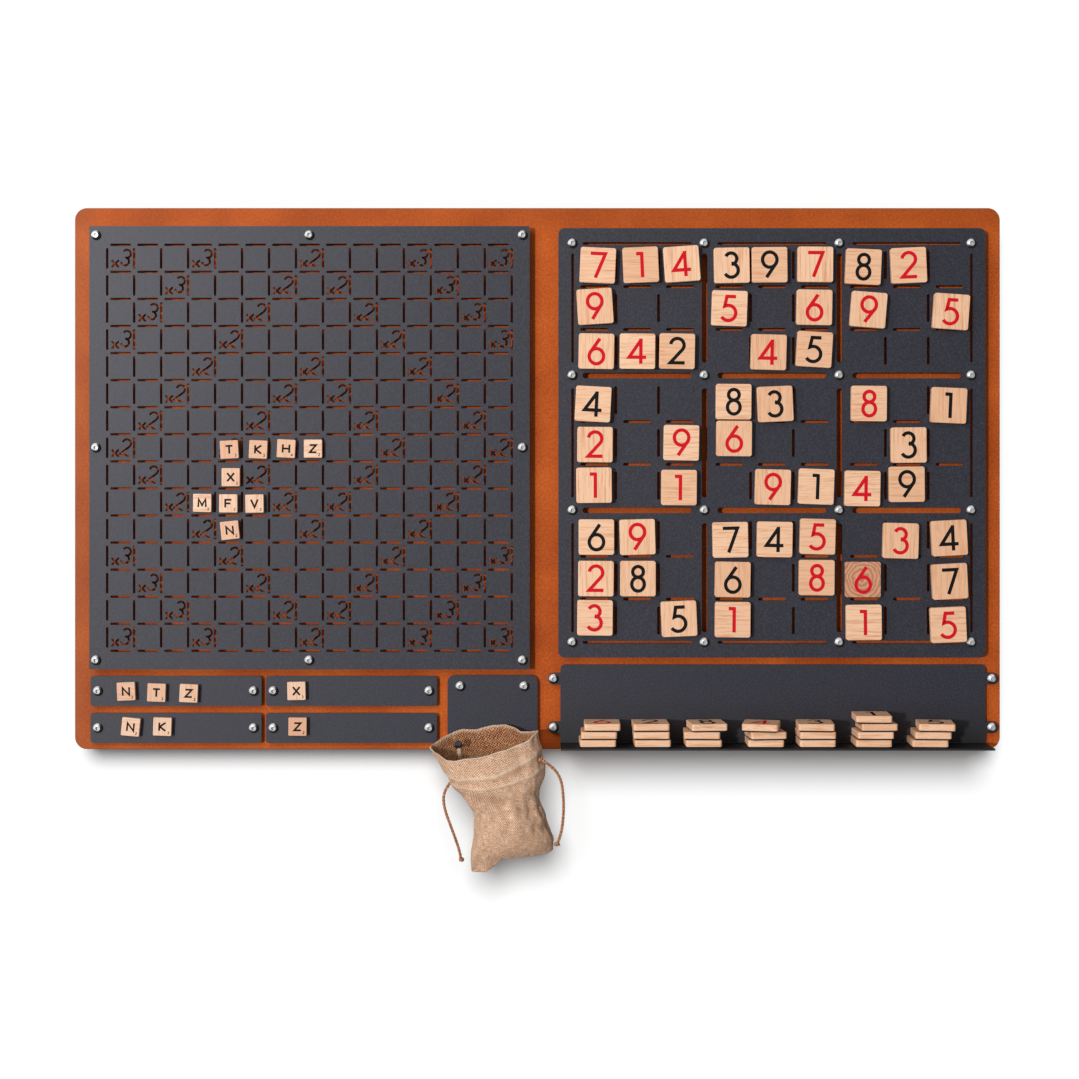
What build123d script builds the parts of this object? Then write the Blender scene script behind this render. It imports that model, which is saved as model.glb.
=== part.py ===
from build123d import *
import math
import os

# A wall board that carries two magnetic games: a letter grid and a number grid,
# with four tile racks, a tray of spare number tiles and a cloth bag on two hooks.
# Millimetres, +Z up. The front faces -Y and the wall is the plane Y = 0.
# The origin is on the wall, behind the middle of the board.
# "Depth" below is the distance out from the wall, towards the player.

os.makedirs("parts", exist_ok=True)

# Backing board
board_width = 1000.0
board_height = 585.0
board_thickness = 12.0
board_corner_radius = 13.0
board_edge_round = 1.0
side_margin = 18.2

# Laser cut steel sheet and how far it stands off the board
sheet_thickness = 2.0
grid_standoff = 8.0
strip_standoff = 3.0

# Letter grid plate
word_plate_width = 473.5
word_plate_height = 476.8
word_plate_corner = 1.5
word_top_margin = 21.0
word_cells = 15
word_cell_width = 29.0
word_cell_height = 29.1
word_slot_length = 22.3
word_slot_width = 2.6
word_screw_inset_x = 7.4
word_screw_inset_z = 9.9

# Cut marks on the letter grid: a cross and a numeral in one square
mark_stroke = 2.3
cross_arm = 5.6
numeral_height = 17.0
numeral_slant = -14.0
numeral_hook_share = 0.26
mark_offset = 5.75
numeral_rise = 0.8
DOUBLED_RINGS = (3, 7)
TRIPLED_RINGS = (11, 14)

# Number grid plate
number_plate_width = 459.2
number_plate_height = 461.8
number_plate_corner = 6.5
number_top_margin = 23.2
number_cell = 46.0
block_gap = 7.0
thin_slot_length = 30.0
thin_slot_width = 3.0
block_slot_length = 117.2
border_slot_width = 2.8
block_slot_width = 6.0
border_line_gap = 0.4

# Tile racks
rack_width = 184.4
rack_height = 32.3
rack_corner = 3.0
rack_side_gap = 4.8
rack_row_gap = 7.6
rack_bottom_margin = 7.4
rack_screw_inset = 8.2

# Bag panel, a folded sheet with two hooks at its foot
bag_panel_width = 97.0
bag_panel_height = 75.2
bag_panel_corner = 8.0
bag_panel_gap = 11.3
bag_screw_inset_x = 14.1
bag_screw_drop = 12.0
hook_spacing = 72.0
hook_width = 6.0
hook_reach = 22.0
hook_rise = 5.5
trim_overrun = 1.0

# Number tray, a folded sheet with four screw ears
tray_width = 458.2
tray_height = 86.5
tray_corner = 5.0
tray_side_margin = 17.0
fold_bottom_margin = 5.5
fold_inner_radius = 1.0
shelf_reach = 40.0
ear_radius = 6.3
ear_reach = 7.2
ear_top_drop = 15.3
ear_bottom_rise = 18.7

# Button head screws and the sleeves behind the sheets
screw_head_radius = 5.25
screw_head_height = 3.3
screw_head_rim = 0.7
screw_crown_radius = 2.7
hex_key_size = 4.0
hex_key_depth = 2.0
screw_shank_radius = 2.95
screw_bite = 9.0
screw_tip_gap = 0.5
thread_gap = 0.05
sheet_hole_gap = 0.25
sleeve_radius = 6.0

# Wall hangers let into the back of the board
hanger_spacing = 800.0
hanger_height = 240.0
hanger_length = 60.0
hanger_width = 24.0
hanger_thickness = 2.0
hanger_corner = 3.0
hanger_gap = 0.2
keyhole_radius = 4.5
keyhole_slot_width = 4.6
keyhole_slot_rise = 9.0
keyhole_pocket_gap = 3.0
keyhole_pocket_depth = 7.0
hanger_screw_spacing = 44.0
hanger_screw_head_radius = 3.4
hanger_screw_radius = 1.7
hanger_screw_length = 9.5
hanger_screw_cone = 1.8

# Number tiles
number_tile_size = 38.0
number_tile_thickness = 7.0
number_tile_corner = 2.5
tile_edge_round = 0.6
number_magnet_size = 35.0
number_magnet_thickness = 1.6
stack_back_gap = 0.6

# Letter tiles
letter_tile_size = 19.5
letter_tile_thickness = 4.5
letter_tile_corner = 1.0
letter_edge_round = 0.4
letter_magnet_size = 17.0
letter_magnet_thickness = 1.0

# Cloth bag and its cords
cloth_thickness = 1.5
cloth_gap = 0.3
slit_side_gap = 0.4
slit_height = 11.6
far_slit_rise = 3.2
rim_overrun = 5.0
cord_radius = 1.4
knot_radius = 3.2

# Where number tiles lie on the grid, one list per row from the top.
# Each tile: column, digit, shift right, shift up, turn clockwise in degrees.
NUMBER_ROWS = [
    [(1, 7, 3.5, -1, 2.5), (2, 1, 3.5, -0.5, -2.5), (3, 4, 1.5, 0.5, -4), (4, 3, 2, -1, -1),
     (5, 9, -3.5, -0.5, -0.5), (6, 7, -0.5, 0, 0.5), (7, 8, -2, -2.5, 2.5), (8, 2, 0.5, -1, -2.5)],
    [(1, 9, 0.5, 1, -3.5), (4, 5, -0.5, -1, 2), (6, 6, -1.5, 0, 1), (7, 9, 3.5, -2.5, 4.5),
     (9, 5, 0, -4.5, 4)],
    [(1, 6, 2, -1, 1), (2, 4, 0, -1, 0.5), (3, 2, -3.5, -1, 1), (5, 4, -4.5, -2, 1.5),
     (6, 5, -1.5, 1, 3.5)],
    [(1, 4, -1.5, -4.5, 3), (4, 8, 4, -2, 0.5), (5, 3, 2.5, -4.5, -2.5), (7, 8, 4, -4, 0.5),
     (9, 1, -2.5, -6, 2.5)],
    [(1, 2, 0.5, -2, 0.5), (3, 9, 1, 0, 1), (4, 6, 4.5, 4.5, 0.5), (8, 3, 0.5, -2.5, -0.5)],
    [(1, 1, -0.5, 0.5, -0.5), (3, 1, -1.5, -2, 0.5), (5, 9, 0, -1.5, 1.5), (6, 1, 0.5, -1, 2),
     (7, 4, -3, -3, 1), (8, 9, -1.5, 1.5, -0.5)],
    [(1, 6, 2, -2, 0), (2, 9, 0, -2, -1.5), (4, 7, 0.5, -5, -1), (5, 4, 2, -4.5, 1),
     (6, 5, 2, -1.5, 1.5), (8, 3, -8, -6, 1.5), (9, 4, -2, -3, -3)],
    [(1, 2, 1.5, -0.5, 0.5), (2, 8, 0.5, -0.5, 0), (4, 6, 3, -1.5, 1), (6, 8, 1, 0.5, 0.5),
     (7, 6, -2.5, -1.5, 0), (9, 7, -1.5, -3.5, -3)],
    [(1, 3, 0.5, 3.5, 0.5), (3, 5, -1.5, 2.5, -2.5), (4, 1, 3, 1.5, 0.5), (7, 1, -1.5, -1.5, -0.5),
     (9, 5, -3, -4, -2.5)],
]

# Spare tiles in the tray, one list per stack from the bottom tile up.
# Each tile: distance right of the tray's middle, shift forward, turn seen from above.
SPARE_STACKS = [
    [(-190, 0, 1), (-188.5, 0.2, -1), (-185, 0.3, -0.5)],
    [(-132, 0, 0.5), (-133, 0.1, -0.5), (-133.5, 0.2, 1)],
    [(-78, 0, 0.5), (-79, 0.8, -3), (-73.5, 1.4, 5)],
    [(-12, 0.1, -1), (-11, 1.5, 5), (-15.5, 3.4, -12)],
    [(42.5, 0, -0.5), (42.5, 0.1, 0.5), (42, 1.2, -4)],
    [(102, 0.4, -1.5), (103.5, 0.3, 1), (107.5, 0.3, 1), (102.5, 0.8, -2.5)],
    [(162, 0.8, -3), (165.5, 1.2, -4), (170, 2, -6.5)],
]

# Letter tiles on the grid: column and row counted from 1, shift right, shift up, turn clockwise.
GRID_LETTERS = [
    (5, 8, 1.6, -1.9, -3), (6, 8, 3.6, -1.8, 2.5), (7, 8, 4.6, -0.9, 3), (8, 8, 4.4, -1, 0),
    (5, 9, 3.2, -2.5, 0), (4, 10, 1.6, -1, 0.5), (5, 10, 0.6, -1.5, 0), (6, 10, -0.3, -1.7, -1),
    (5, 11, 2.2, -1.2, -6),
]

# Letter tiles on the racks: side of the rack (0 left, 1 right), shift right, shift up, turn clockwise.
UPPER_RACK_LETTERS = [(0, -52.7, 0.2, -2.5), (0, -20, -1.1, 2), (0, 14.6, -1.8, 2.5), (1, -58.7, 0.7, -1)]
LOWER_RACK_LETTERS = [(0, -47.8, 1.9, 5.5), (0, -13.7, 2.2, 2), (1, -57.5, 2.2, 0.5)]

# Bag sections from the seam at its foot up to the rim.
# Each: middle right of the origin, middle depth, height, half width, half depth,
# turn that lifts the right side, turn that lifts the back, both in degrees.
BAG_SECTIONS = [
    (-27, 38, -404.5, 44.5, 7, 12, 0),
    (-27, 39, -392, 44.5, 19, 9, 0),
    (-28, 41, -372, 40, 23, 6, 0),
    (-31, 42, -354, 36.5, 22, 4, 0),
    (-38.5, 43, -337, 41, 23, 2, 4),
    (-44.5, 44, -315, 51.5, 25.5, 6, 12),
    (-53.5, 45, -279, 60, 27.5, 10.5, 22),
]

# Routes of the two free cord ends: right of the origin, depth, height.
LEFT_CORD = [(-91, 44, -321.5), (-97, 45, -328), (-100.2, 46, -339), (-98, 47, -352),
             (-92.8, 47.5, -366), (-87.2, 47.5, -381), (-82.5, 47, -395), (-80.8, 46, -404)]
RIGHT_CORD = [(3.4, 56, -296.5), (11.5, 57.5, -301), (20.3, 58, -308.8), (25.3, 57.5, -319),
              (27.3, 57, -333), (27.8, 56.5, -348), (26.9, 56, -363), (24.6, 55.5, -376.5),
              (20.8, 55, -386)]

# Sizes that follow from the ones above
board_top = board_height / 2
board_bottom = -board_height / 2
board_side = board_width / 2
grid_depth = board_thickness + grid_standoff
grid_face = grid_depth + sheet_thickness
strip_depth = board_thickness + strip_standoff
strip_face = strip_depth + sheet_thickness
sheet_hole_radius = screw_shank_radius + sheet_hole_gap
fold_bottom = board_bottom + fold_bottom_margin
shelf_top = fold_bottom + sheet_thickness

word_x = -board_side + side_margin + word_plate_width / 2
word_z = board_top - word_top_margin - word_plate_height / 2
number_x = board_side - side_margin - number_plate_width / 2
number_z = board_top - number_top_margin - number_plate_height / 2
block_pitch = 3 * number_cell + block_gap
border_line = block_pitch + 1.5 * number_cell + border_line_gap
rack_pitch_x = rack_width + rack_side_gap
rack_pitch_z = rack_height + rack_row_gap
rack_left_x = -board_side + side_margin + rack_width / 2
rack_low_z = board_bottom + rack_bottom_margin + rack_height / 2
bag_x = rack_left_x + rack_pitch_x + rack_width / 2 + bag_panel_gap + bag_panel_width / 2
tray_x = board_side - tray_side_margin - tray_width / 2


def on_front(depth):
    """Plane parallel to the wall at a depth, local x to the right, local y up."""
    return Plane.XZ.offset(depth)


def outer_wires(sketch):
    return [face.outer_wire() for face in sketch.faces()]


def sheet(outline, holes, depth, thickness):
    """Flat sheet with through holes, its back at the given depth."""
    wires = [wire for hole in holes for wire in outer_wires(hole)]
    face = Face(outline.faces()[0].outer_wire(), wires)
    return extrude(on_front(depth).location * face, amount=thickness, dir=(0, -1, 0))


def slot(x, z, length, width, upright=False):
    turn = 90 if upright else 0
    return Pos(x, z) * Rot(0, 0, turn) * SlotOverall(length, width)


def export(part, name):
    export_step(part, f"parts/{name}.step")


def export_group(parts, name):
    export(Compound(children=list(parts)), name)


# Screw places, each a list of (x, z)

def word_screw_places():
    reach_x = word_plate_width / 2 - word_screw_inset_x
    reach_z = word_plate_height / 2 - word_screw_inset_z
    steps = [(i, k) for i in (-1, 0, 1) for k in (-1, 0, 1) if (i, k) != (0, 0)]
    return [(word_x + i * reach_x, word_z + k * reach_z) for i, k in steps]


def number_screw_places():
    lines = [-border_line, -block_pitch / 2, block_pitch / 2, border_line]
    return [(number_x + x, number_z + z) for x in lines for z in lines]


def rack_centres():
    return [(rack_left_x + i * rack_pitch_x, rack_low_z + k * rack_pitch_z) for k in (1, 0) for i in (0, 1)]


def rack_screw_places():
    reach = rack_width / 2 - rack_screw_inset
    return [(x + side * reach, z) for x, z in rack_centres() for side in (-1, 1)]


def bag_panel_screw_places():
    reach = bag_panel_width / 2 - bag_screw_inset_x
    z = fold_bottom + bag_panel_height - bag_screw_drop
    return [(bag_x + side * reach, z) for side in (-1, 1)]


def ear_places():
    reach = tray_width / 2 + ear_reach
    heights = (fold_bottom + tray_height - ear_top_drop, fold_bottom + ear_bottom_rise)
    return [(tray_x + side * reach, z) for side in (-1, 1) for z in heights]


grid_screw_places = word_screw_places() + number_screw_places()
strip_screw_places = rack_screw_places() + bag_panel_screw_places() + ear_places()
hanger_places = [(side * hanger_spacing / 2, hanger_height) for side in (-1, 1)]


# Backing board and what hangs it

def keyhole_pocket():
    """Room behind a hanger for the head of the wall screw, local z up the wall."""
    width = 2 * (keyhole_radius + keyhole_pocket_gap)
    return Pos(0, keyhole_slot_rise / 2) * SlotOverall(width + keyhole_slot_rise, width, rotation=90)


def board():
    blank = extrude(on_front(0) * RectangleRounded(board_width, board_height, board_corner_radius),
                    amount=board_thickness)
    blank = fillet(blank.faces().sort_by(Axis.Y)[0].edges(), board_edge_round)
    cuts = []
    for x, z in grid_screw_places + strip_screw_places:
        bore = Circle(screw_shank_radius + thread_gap)
        cuts.append(extrude(on_front(board_thickness) * Pos(x, z) * bore, amount=-(screw_bite + screw_tip_gap)))
    for x, z in hanger_places:
        recess = RectangleRounded(hanger_length + 2 * hanger_gap, hanger_width + 2 * hanger_gap, hanger_corner)
        cuts.append(extrude(on_front(0) * Pos(x, z) * recess, amount=hanger_thickness))
        cuts.append(extrude(on_front(0) * Pos(x, z) * keyhole_pocket(), amount=keyhole_pocket_depth))
        for side in (-1, 1):
            bore = Circle(hanger_screw_radius + thread_gap)
            place = Pos(x + side * hanger_screw_spacing / 2, z)
            cuts.append(extrude(on_front(0) * place * bore, amount=hanger_screw_length + screw_tip_gap))
    return blank - cuts


def hanger(x, z):
    outline = Pos(x, z) * RectangleRounded(hanger_length, hanger_width, hanger_corner)
    slot_shape = Pos(0, keyhole_slot_rise / 2) * Rectangle(keyhole_slot_width, keyhole_slot_rise)
    slot_end = Pos(0, keyhole_slot_rise) * Circle(keyhole_slot_width / 2)
    keyhole = Circle(keyhole_radius) + slot_shape + slot_end
    plate = sheet(outline, [Pos(x, z) * keyhole], 0, hanger_thickness)
    for side in (-1, 1):
        place = Pos(x + side * hanger_screw_spacing / 2, z)
        plate -= on_front(0) * place * countersunk_body(thread_gap, hanger_thickness)
    return plate


def countersunk_body(gap, length):
    """Head cone and shank of a countersunk screw, widened by a gap, along local z."""
    head = hanger_screw_head_radius + gap
    shank = hanger_screw_radius + gap
    points = [(0, 0), (head, 0), (shank, hanger_screw_cone), (shank, length), (0, length)]
    return revolve(Plane.XZ * make_face(Polyline(*points, close=True)), Axis.Z)


def hanger_screw(x, z):
    return on_front(0) * Pos(x, z) * countersunk_body(0, hanger_screw_length)


# Fasteners of the steel sheets

def button_screw(x, z, face_depth, shank_length):
    """Domed screw with a hexagon socket, its head on the sheet's face."""
    head = screw_head_radius
    profile = make_face([
        Line((0, 0), (head, 0)),
        Line((head, 0), (head, screw_head_rim)),
        RadiusArc((head, screw_head_rim), (screw_crown_radius, screw_head_height), -head),
        Line((screw_crown_radius, screw_head_height), (0, screw_head_height)),
        Line((0, screw_head_height), (0, 0)),
    ])
    dome = revolve(Plane.XZ * profile, Axis.Z)
    socket_sketch = RegularPolygon(hex_key_size / 2, 6, major_radius=False)
    socket = extrude(Pos(0, 0, screw_head_height) * socket_sketch, amount=-hex_key_depth)
    shank = Pos(0, 0, -shank_length / 2) * Cylinder(screw_shank_radius, shank_length)
    return on_front(face_depth) * Pos(x, z) * (dome - socket + shank)


def sleeve(x, z, length):
    ring = Circle(sleeve_radius) - Circle(sheet_hole_radius)
    return extrude(on_front(board_thickness) * Pos(x, z) * ring, amount=length)


# Letter grid plate

def numeral_two():
    top = numeral_hook_share * numeral_height
    arc = CenterArc((0, numeral_height / 2 - top), top, -35, 200)
    hook = SlotArc(arc, mark_stroke)
    foot = -numeral_height / 2
    diagonal = SlotCenterPoint((arc @ 0 + Vector(-top, foot)) / 2, arc @ 0, mark_stroke)
    base = SlotCenterPoint((0, foot), (top, foot), mark_stroke)
    return hook + diagonal + base


def numeral_three():
    bowl = numeral_height / 4
    upper = SlotArc(CenterArc((0, bowl), bowl, -90, 235), mark_stroke)
    lower = SlotArc(CenterArc((0, -bowl), bowl, -145, 235), mark_stroke)
    return upper + lower


def cross():
    arm = SlotOverall(2 * cross_arm, mark_stroke)
    return Rot(0, 0, 45) * arm + Rot(0, 0, -45) * arm


def mark(numeral):
    slanted = Rot(0, 0, numeral_slant) * numeral
    return (Pos(-mark_offset, -mark_offset) * cross()) + (Pos(mark_offset, numeral_rise) * slanted)


def grid_marks():
    """Doubling and tripling squares, set out in diamond rings about the middle."""
    doubled = mark(numeral_two())
    tripled = mark(numeral_three())
    half = word_cells // 2
    marks = []
    for i in range(-half, half + 1):
        for k in range(-half, half + 1):
            place = Pos(word_x + i * word_cell_width, word_z + k * word_cell_height)
            ring = abs(i) + abs(k)
            if ring in DOUBLED_RINGS:
                marks.append(place * doubled)
            if ring in TRIPLED_RINGS:
                marks.append(place * tripled)
    return marks


def word_plate():
    holes = grid_marks()
    half = word_cells / 2
    for line in range(word_cells + 1):
        for cell in range(word_cells):
            across = (line - half, cell - half + 0.5)
            x, z = word_x + across[1] * word_cell_width, word_z + across[0] * word_cell_height
            holes.append(slot(x, z, word_slot_length, word_slot_width))
            x, z = word_x + across[0] * word_cell_width, word_z + across[1] * word_cell_height
            holes.append(slot(x, z, word_slot_length, word_slot_width, upright=True))
    holes += [Pos(x, z) * Circle(sheet_hole_radius) for x, z in word_screw_places()]
    outline = Pos(word_x, word_z) * RectangleRounded(word_plate_width, word_plate_height, word_plate_corner)
    return sheet(outline, holes, grid_depth, sheet_thickness)


# Number grid plate

def number_plate():
    holes = []

    def add_slots(along, off, length, width):
        holes.append(slot(number_x + along, number_z + off, length, width))
        holes.append(slot(number_x + off, number_z + along, length, width, upright=True))

    for block in (-1, 0, 1):
        for off in (-border_line, border_line):
            add_slots(block * block_pitch, off, block_slot_length, border_slot_width)
        for off in (-block_pitch / 2, block_pitch / 2):
            add_slots(block * block_pitch, off, block_slot_length, block_slot_width)
        for cell in (-1, 0, 1):
            along = block * block_pitch + cell * number_cell
            for other in (-1, 0, 1):
                for side in (-1, 1):
                    off = other * block_pitch + side * number_cell / 2
                    add_slots(along, off, thin_slot_length, thin_slot_width)
    holes += [Pos(x, z) * Circle(sheet_hole_radius) for x, z in number_screw_places()]
    outline = Pos(number_x, number_z) * RectangleRounded(number_plate_width, number_plate_height,
                                                         number_plate_corner)
    return sheet(outline, holes, grid_depth, sheet_thickness)


# Racks, bag panel and tray

def rack(x, z):
    reach = rack_width / 2 - rack_screw_inset
    outline = Pos(x, z) * RectangleRounded(rack_width, rack_height, rack_corner)
    holes = [Pos(x + side * reach, z) * Circle(sheet_hole_radius) for side in (-1, 1)]
    return sheet(outline, holes, strip_depth, sheet_thickness)


def folded_profile(height, reach, rise=0.0):
    """Side view of a sheet folded forward at its foot, as (forward, up) from the strip's back."""
    thick = sheet_thickness
    bend = fold_inner_radius
    path = [(thick / 2, height), (thick / 2, thick / 2), (thick + reach, thick / 2)]
    if rise:
        path = path[:2] + [(thick / 2 + reach, thick / 2), (thick / 2 + reach, thick + rise)]
    line = FilletPolyline(*path, radius=bend + thick / 2)
    return trace(line, thick)


def fold_solid(profile, middle, width):
    """Extrude a folded profile across the board, centred on middle."""
    side = Plane(origin=(middle + width / 2, -strip_depth, fold_bottom), x_dir=(0, -1, 0), z_dir=(-1, 0, 0))
    return extrude(side * profile, amount=width)


def round_top(width, height, corner, middle):
    """Upright outline with round top corners only, deep enough to trim a folded sheet."""
    outline = RectangleRounded(width, 2 * height, corner)
    reach = sheet_thickness + shelf_reach + trim_overrun
    return extrude(on_front(strip_depth) * Pos(middle, fold_bottom) * outline, amount=reach)


def bag_panel():
    back_height = bag_panel_height
    plate = sheet(Pos(bag_x, fold_bottom + back_height / 2) * Rectangle(bag_panel_width, back_height),
                  [Pos(x, z) * Circle(sheet_hole_radius) for x, z in bag_panel_screw_places()],
                  strip_depth, sheet_thickness)
    plate &= round_top(bag_panel_width, back_height, bag_panel_corner, bag_x)
    hook = folded_profile(back_height / 2, hook_reach, hook_rise)
    for side in (-1, 1):
        plate += fold_solid(hook, bag_x + side * hook_spacing / 2, hook_width)
    return plate


def tray():
    body = fold_solid(folded_profile(tray_height, shelf_reach), tray_x, tray_width)
    body &= round_top(tray_width, tray_height, tray_corner, tray_x)
    for x, z in ear_places():
        side = 1 if x > tray_x else -1
        root = Pos(x - side * ear_reach, z) * Rectangle(2 * ear_reach, 2 * ear_radius)
        ear = Pos(x, z) * Circle(ear_radius) + root
        body += extrude(on_front(strip_depth) * ear, amount=sheet_thickness)
    holes = [Pos(x, z) * Circle(sheet_hole_radius) for x, z in ear_places()]
    return body - [extrude(on_front(strip_depth) * hole, amount=sheet_thickness) for hole in holes]


# Tiles

def tile_blank(size, corner, thickness, edge_round):
    """Wooden tile on the local XY plane, its face towards +Z."""
    blank = extrude(RectangleRounded(size, size, corner), amount=thickness)
    rims = blank.faces().sort_by(Axis.Z)
    return fillet(rims[0].edges() + rims[-1].edges(), edge_round)


number_tile = tile_blank(number_tile_size, number_tile_corner, number_tile_thickness, tile_edge_round)
number_magnet = extrude(RectangleRounded(number_magnet_size, number_magnet_size, number_tile_corner),
                        amount=number_magnet_thickness)
letter_tile = tile_blank(letter_tile_size, letter_tile_corner, letter_tile_thickness, letter_edge_round)
letter_magnet = extrude(RectangleRounded(letter_magnet_size, letter_magnet_size, letter_tile_corner),
                        amount=letter_magnet_thickness)


def laid_tile(tile, x, z, turn, depth):
    """A tile laid on a steel face, turned clockwise as seen from the front."""
    return on_front(depth) * Pos(x, z) * Rot(0, 0, -turn) * tile


def export_laid(places, tile, magnet, depth, magnet_thickness, tile_name, magnet_name):
    tiles = [laid_tile(tile, x, z, turn, depth + magnet_thickness) for x, z, turn in places]
    magnets = [laid_tile(magnet, x, z, turn, depth) for x, z, turn in places]
    export_group(tiles, tile_name)
    export_group(magnets, magnet_name)


def number_cell_centre(column, row):
    """Centre of a cell, counted from 1 at the top left."""
    steps = [block * block_pitch + cell * number_cell for block in (-1, 0, 1) for cell in (-1, 0, 1)]
    return number_x + steps[column - 1], number_z - steps[row - 1]


def number_places(digit):
    places = []
    for row, tiles in enumerate(NUMBER_ROWS, start=1):
        for column, value, right, up, turn in tiles:
            if value == digit:
                x, z = number_cell_centre(column, row)
                places.append((x + right, z + up, turn))
    return places


def grid_letter_places():
    half = (word_cells + 1) / 2
    places = []
    for column, row, right, up, turn in GRID_LETTERS:
        x = word_x + (column - half) * word_cell_width
        z = word_z - (row - half) * word_cell_height
        places.append((x + right, z + up, turn))
    return places


def rack_letter_places(letters, row_z):
    return [(rack_left_x + side * rack_pitch_x + right, row_z + up, turn) for side, right, up, turn in letters]


def export_stack(number, tiles):
    pitch = number_tile_thickness + number_magnet_thickness
    middle_depth = strip_face + stack_back_gap + number_tile_size / 2
    wood, magnets = [], []
    for level, (right, forward, turn) in enumerate(tiles):
        foot = Location((tray_x + right, -(middle_depth + forward), shelf_top + level * pitch), (0, 0, turn))
        magnets.append(foot * number_magnet)
        wood.append(foot * Pos(0, 0, number_magnet_thickness) * number_tile)
    export_group(wood, f"spare_stack_{number}")
    export_group(magnets, f"spare_magnets_{number}")


# Bag and cords

def oval(half_width, half_depth):
    """Closed oval of four arcs, each through a point of the true ellipse."""
    ends = [(-half_width, 0), (0, half_depth), (half_width, 0), (0, -half_depth)]
    share = math.sqrt(0.5)
    signs = [(-1, 1), (1, 1), (1, -1), (-1, -1)]
    middles = [(x * share * half_width, y * share * half_depth) for x, y in signs]
    return make_face([ThreePointArc(ends[i], middles[i], ends[(i + 1) % 4]) for i in range(4)])


def bag_section(section, inset, lift=0.0):
    """One section of the bag, drawn in by an inset and lifted along its own axis."""
    x, depth, z, half_width, half_depth, lift_right, lift_back = section
    place = Location((x, -depth, z), (lift_back, -lift_right, 0))
    return place * Pos(0, 0, lift) * oval(half_width - inset, half_depth - inset)


def bag_outside():
    return loft([bag_section(section, 0) for section in BAG_SECTIONS], ruled=True)


def bag_hollow():
    """Room in the bag, closed at the foot seam and running out past the rim."""
    foot = bag_section(BAG_SECTIONS[0], cloth_thickness, lift=cloth_thickness)
    middle = [bag_section(section, cloth_thickness) for section in BAG_SECTIONS[1:]]
    above = bag_section(BAG_SECTIONS[-1], cloth_thickness, lift=rim_overrun)
    return loft([foot] + middle + [above], ruled=True)


def bag():
    """Open cloth shell with a slit in its back for each hook."""
    shell = bag_outside() - bag_hollow()
    slit_bottom = shelf_top + cloth_gap - slit_height
    reach = hook_reach - sheet_thickness
    for side, height in ((-1, slit_height), (1, slit_height + far_slit_rise)):
        x = bag_x + side * hook_spacing / 2
        box = Box(hook_width + 2 * slit_side_gap, reach, height)
        shell -= Pos(x, -(strip_face + reach / 2), slit_bottom + height / 2) * box
    return shell


def cord_radii(points):
    """Arc radius at each corner of a route: 0.45 of the shorter run over the tangent of half the turn."""
    radii = []
    for before, here, after in zip(points, points[1:], points[2:]):
        arriving = here - before
        leaving = after - here
        half_turn = math.radians(arriving.get_angle(leaving)) / 2
        radii.append(0.45 * min(arriving.length, leaving.length) / math.tan(half_turn))
    return radii


def cord(route, name):
    points = [Vector(x, -depth, z) for x, depth, z in route]
    radii = cord_radii(points)
    print(name, "radii", [round(radius, 1) for radius in radii])
    path = FilletPolyline(*points, radius=radii)
    start = Plane(origin=path @ 0, z_dir=path % 0)
    tube = sweep(start * Circle(cord_radius), path=path)
    expected = math.pi * cord_radius ** 2 * path.length
    print(name, "length", round(path.length, 1), "volume over section times length",
          round(tube.volume / expected, 4))
    return tube


def knots():
    places = [LEFT_CORD[-1], RIGHT_CORD[0], RIGHT_CORD[-1]]
    return [Pos(x, -depth, z) * Sphere(knot_radius) for x, depth, z in places]


export(board(), "backing_board")
export_group([hanger(x, z) for x, z in hanger_places], "wall_hangers")
export_group([hanger_screw(x + side * hanger_screw_spacing / 2, z) for x, z in hanger_places for side in (-1, 1)],
             "hanger_screws")
export(word_plate(), "word_plate")
export(number_plate(), "number_plate")
rack_names = ["upper_left_rack", "upper_right_rack", "lower_left_rack", "lower_right_rack"]
for name, (x, z) in zip(rack_names, rack_centres()):
    export(rack(x, z), name)
export(bag_panel(), "bag_panel")
export(tray(), "number_tray")

grid_shank = sheet_thickness + grid_standoff + screw_bite
strip_shank = sheet_thickness + strip_standoff + screw_bite
export_group([sleeve(x, z, grid_standoff) for x, z in grid_screw_places], "grid_plate_sleeves")
export_group([sleeve(x, z, strip_standoff) for x, z in strip_screw_places], "strip_sleeves")
export_group([button_screw(x, z, grid_face, grid_shank) for x, z in grid_screw_places], "grid_plate_screws")
export_group([button_screw(x, z, strip_face, strip_shank) for x, z in strip_screw_places], "strip_screws")

for digit in range(1, 10):
    export_laid(number_places(digit), number_tile, number_magnet, grid_face, number_magnet_thickness,
                f"number_tiles_{digit}", f"number_magnets_{digit}")
for number, tiles in enumerate(SPARE_STACKS, start=1):
    export_stack(number, tiles)
export_laid(grid_letter_places(), letter_tile, letter_magnet, grid_face, letter_magnet_thickness,
            "grid_letter_tiles", "grid_letter_magnets")
export_laid(rack_letter_places(UPPER_RACK_LETTERS, rack_low_z + rack_pitch_z), letter_tile, letter_magnet,
            strip_face, letter_magnet_thickness, "upper_rack_tiles", "upper_rack_magnets")
export_laid(rack_letter_places(LOWER_RACK_LETTERS, rack_low_z), letter_tile, letter_magnet,
            strip_face, letter_magnet_thickness, "lower_rack_tiles", "lower_rack_magnets")

export(bag(), "letter_bag")
export(cord(LEFT_CORD, "left cord"), "left_drawstring")
export(cord(RIGHT_CORD, "right cord"), "right_drawstring")
export_group(knots(), "drawstring_knots")
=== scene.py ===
import math

import bpy
import numpy as np
from mathutils import Matrix, Vector, noise


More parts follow.
